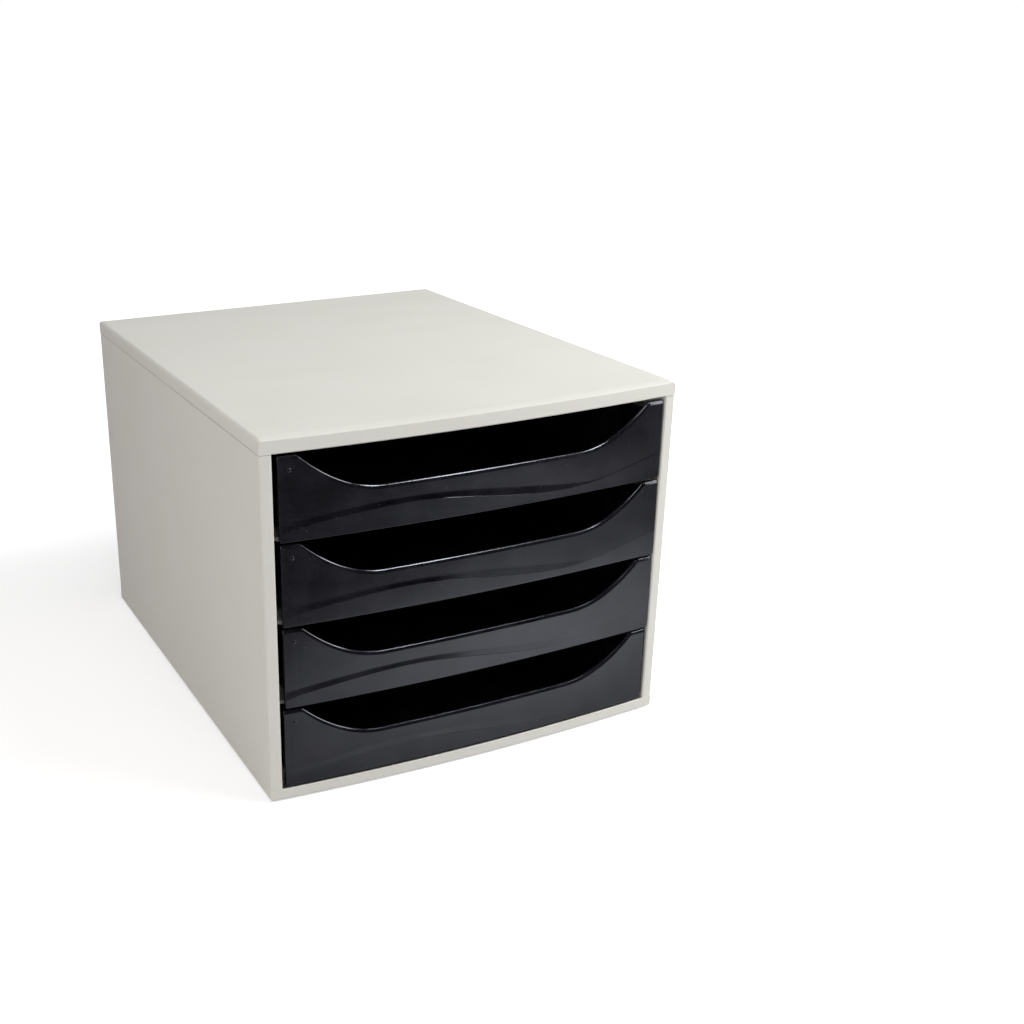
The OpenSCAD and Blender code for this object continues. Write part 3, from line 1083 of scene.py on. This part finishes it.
# %% Drawers
def combine(bm, tool, operation):
    """Adds a second shape to a mesh or cuts it away, and returns the new mesh."""
    bench = []
    for shape in (bm, tool):
        mesh = bpy.data.meshes.new("bench")
        shape.to_mesh(mesh)
        shape.free()
        bench.append(bpy.data.objects.new("bench", mesh))
        bpy.context.scene.collection.objects.link(bench[-1])
    work = bench[0].modifiers.new("combine", "BOOLEAN")
    work.operation, work.solver, work.object = operation, "EXACT", bench[1]
    bpy.context.view_layer.update()
    made = bmesh.new()
    made.from_mesh(bench[0].evaluated_get(bpy.context.evaluated_depsgraph_get()).data)
    bmesh.ops.remove_doubles(made, verts=made.verts, dist=merge_dist)
    for obj in bench:
        mesh = obj.data
        bpy.data.objects.remove(obj)
        bpy.data.meshes.remove(mesh)
    return made


pip_x = -125.5 * mm
pip_z = 44 * mm
pip_r = 1.4 * mm
pip_shape = (1, 0.3, 0.9)


def pip():
    """The low round pip on the left ear."""
    bm = bmesh.new()
    bmesh.ops.create_uvsphere(bm, u_segments=24, v_segments=12, radius=pip_r)
    bmesh.ops.scale(bm, vec=pip_shape, verts=bm.verts)
    bmesh.ops.translate(bm, vec=(pip_x, corner_y - bow_at(pip_x) + relief, pip_z), verts=bm.verts)
    return bm


drawer = combine(combine(drawer_front(), drawer_tray(), "UNION"), pip(), "UNION")
for k in (1, 2, 3, 4):
    node = f"drawer_{k}"
    low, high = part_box(node)
    bm = drawer.copy()
    bmesh.ops.translate(bm, vec=((low.x + high.x) / 2, 0, low.z), verts=bm.verts)
    add_piece(node, bm, node, drawer_plastic)
drawer.free()

# %% [markdown]
# ## Floor and light
#
# The floor is plain and pale, and keeps the soft shadow under the case. To the camera it
# brightens to white away from the object. What the polished drawers mirror is the floor
# in front of them. Lamps alone would light that floor evenly, and all drawers would look
# alike. So two soft pools of light are painted on it, which only a mirroring surface
# sees: a bright one near the case and a weaker one further out. The lower drawers mirror
# the near one, and so they look lighter than the top one.

# %% Floor
floor_half = 12
bm = bmesh.new()
bmesh.ops.create_grid(bm, x_segments=1, y_segments=1, size=floor_half)
mesh = bpy.data.meshes.new("floor")
bm.to_mesh(mesh)
bm.free()
floor = bpy.data.objects.new("floor", mesh)
bpy.context.scene.collection.objects.link(floor)


def pool(tree, centre, reach, turn):
    """A soft oval patch on the floor: 1 in its middle and 0 beyond its reach."""
    place = put(tree, "ShaderNodeTexCoord").outputs["Object"]
    spread = put(
        tree, "ShaderNodeMapping",
        {"Vector": place, "Location": (*centre, 0), "Rotation": (0, 0, turn), "Scale": (*reach, 1)},
        vector_type="TEXTURE",
    ).outputs[0]
    oval = put(tree, "ShaderNodeTexGradient", {"Vector": spread}, gradient_type="SPHERICAL")
    soft = put(
        tree, "ShaderNodeMapRange", {"Value": oval.outputs["Fac"]},
        interpolation_type="SMOOTHSTEP",
    )
    return soft.outputs["Result"]


far_share = 0.44
pool_glow = 0.54
glow_under_object = 0.4
pale_floor = (0.8, 0.8, 0.8, 1)
dark_floor = (0.1, 0.1, 0.1, 1)
floor_paint, tree, shader = new_material("floor_paint")
path = put(tree, "ShaderNodeLightPath").outputs
near_pool = pool(tree, (0.115, -0.31), (0.43, 0.218), math.radians(-18))
far_pool = pool(tree, (0.34, -0.61), (0.4, 0.155), 0)
lit = calc(tree, "ADD", near_pool, calc(tree, "MULTIPLY", far_pool, far_share))
near_object = pool(tree, (0, 0), (1.2, 1.2), 0)
# Beyond the pools, the floor that mirrors see is painted dark: painted shade around the painted pools
# of light.
mirrored = mix(tree, lit, dark_floor, pale_floor)
colour = mix(tree, path["Is Glossy Ray"], pale_floor, mirrored)
tree.links.new(colour, shader.inputs["Base Color"])
whitened = ramp(tree, near_object, 0, 1, 1, glow_under_object)
seen = calc(tree, "MULTIPLY", path["Is Camera Ray"], whitened)
glow = ramp(tree, lit, 0, 1, 0, pool_glow)
mirror_glow = calc(tree, "MULTIPLY", path["Is Glossy Ray"], glow)
tree.links.new(calc(tree, "ADD", seen, mirror_glow), shader.inputs["Emission Strength"])
shader.inputs["Emission Color"].default_value = (1, 1, 1, 1)
shader.inputs["Roughness"].default_value = 0.9
mesh.materials.append(floor_paint)
print(f"floor {2 * floor_half} m wide, painted with two pools of light")

# %% [markdown]
# The room is white to the camera, but it sheds only a little light on the object, and
# shows even weaker in what mirrors it: Light Path tells these rays apart. The shapes are
# lit by soft boxes: area lamps as a studio has, some large for even faces and some small
# for a clear edge. Those on the left are slightly warm, as the left side is in the
# picture. One bright room would be simpler, but it would leave the pale case flat.

# %% World and lamps
room_light = 0.12
mirrored_room = 0.04
world = bpy.data.worlds.new("studio")
bpy.context.scene.world = world
world.use_nodes = True
tree = world.node_tree
path = put(tree, "ShaderNodeLightPath").outputs
seen = calc(tree, "MAXIMUM", path["Is Camera Ray"], path["Is Transmission Ray"])
room = ramp(tree, path["Is Glossy Ray"], 0, 1, room_light, mirrored_room)
tree.links.new(calc(tree, "MAXIMUM", seen, room), tree.nodes["Background"].inputs["Strength"])
tree.nodes["Background"].inputs["Color"].default_value = (1, 1, 1, 1)


def lamp(name, place, target, size, watts, colour=(1, 1, 1)):
    """A soft box of a width and a height that looks at a point."""
    light = bpy.data.lights.new(name, "AREA")
    light.shape = "RECTANGLE"
    light.size, light.size_y = size
    light.energy = watts
    light.color = colour
    obj = bpy.data.objects.new(name, light)
    bpy.context.scene.collection.objects.link(obj)
    obj.location = place
    obj.rotation_euler = (Vector(target) - Vector(place)).to_track_quat("-Z", "Y").to_euler()
    return obj


middle = (0, 0, 0.1)
warm_white = (1.0, 0.94, 0.935)
lamp("key", (0.6, -0.55, 1.25), middle, (0.6, 0.15), 6.3)
lamp("overhead", (-0.2, 0.15, 1.4), middle, (0.9, 0.9), 4.8)
lamp("right", (0.95, -0.6, 0.58), middle, (0.5, 0.5), 5)
lamp("right_back", (1.15, -0.1, 0.5), middle, (0.25, 0.2), 1.6)
lamp("right_high", (0.9, -0.31, 0.86), middle, (0.35, 0.35), 3.6)
lamp("slope", (-0.25, -0.95, 1.25), middle, (0.3, 0.3), 1.4)
lamp("left", (-1.2, -0.2, 0.3), middle, (0.8, 0.7), 2.8, warm_white)
lamp("front_left", (-1.0, -0.9, 0.6), middle, (0.8, 0.8), 4.2, warm_white)
print(len(bpy.data.lights), "lamps")

bpy.context.scene.view_settings.view_transform = "Standard"
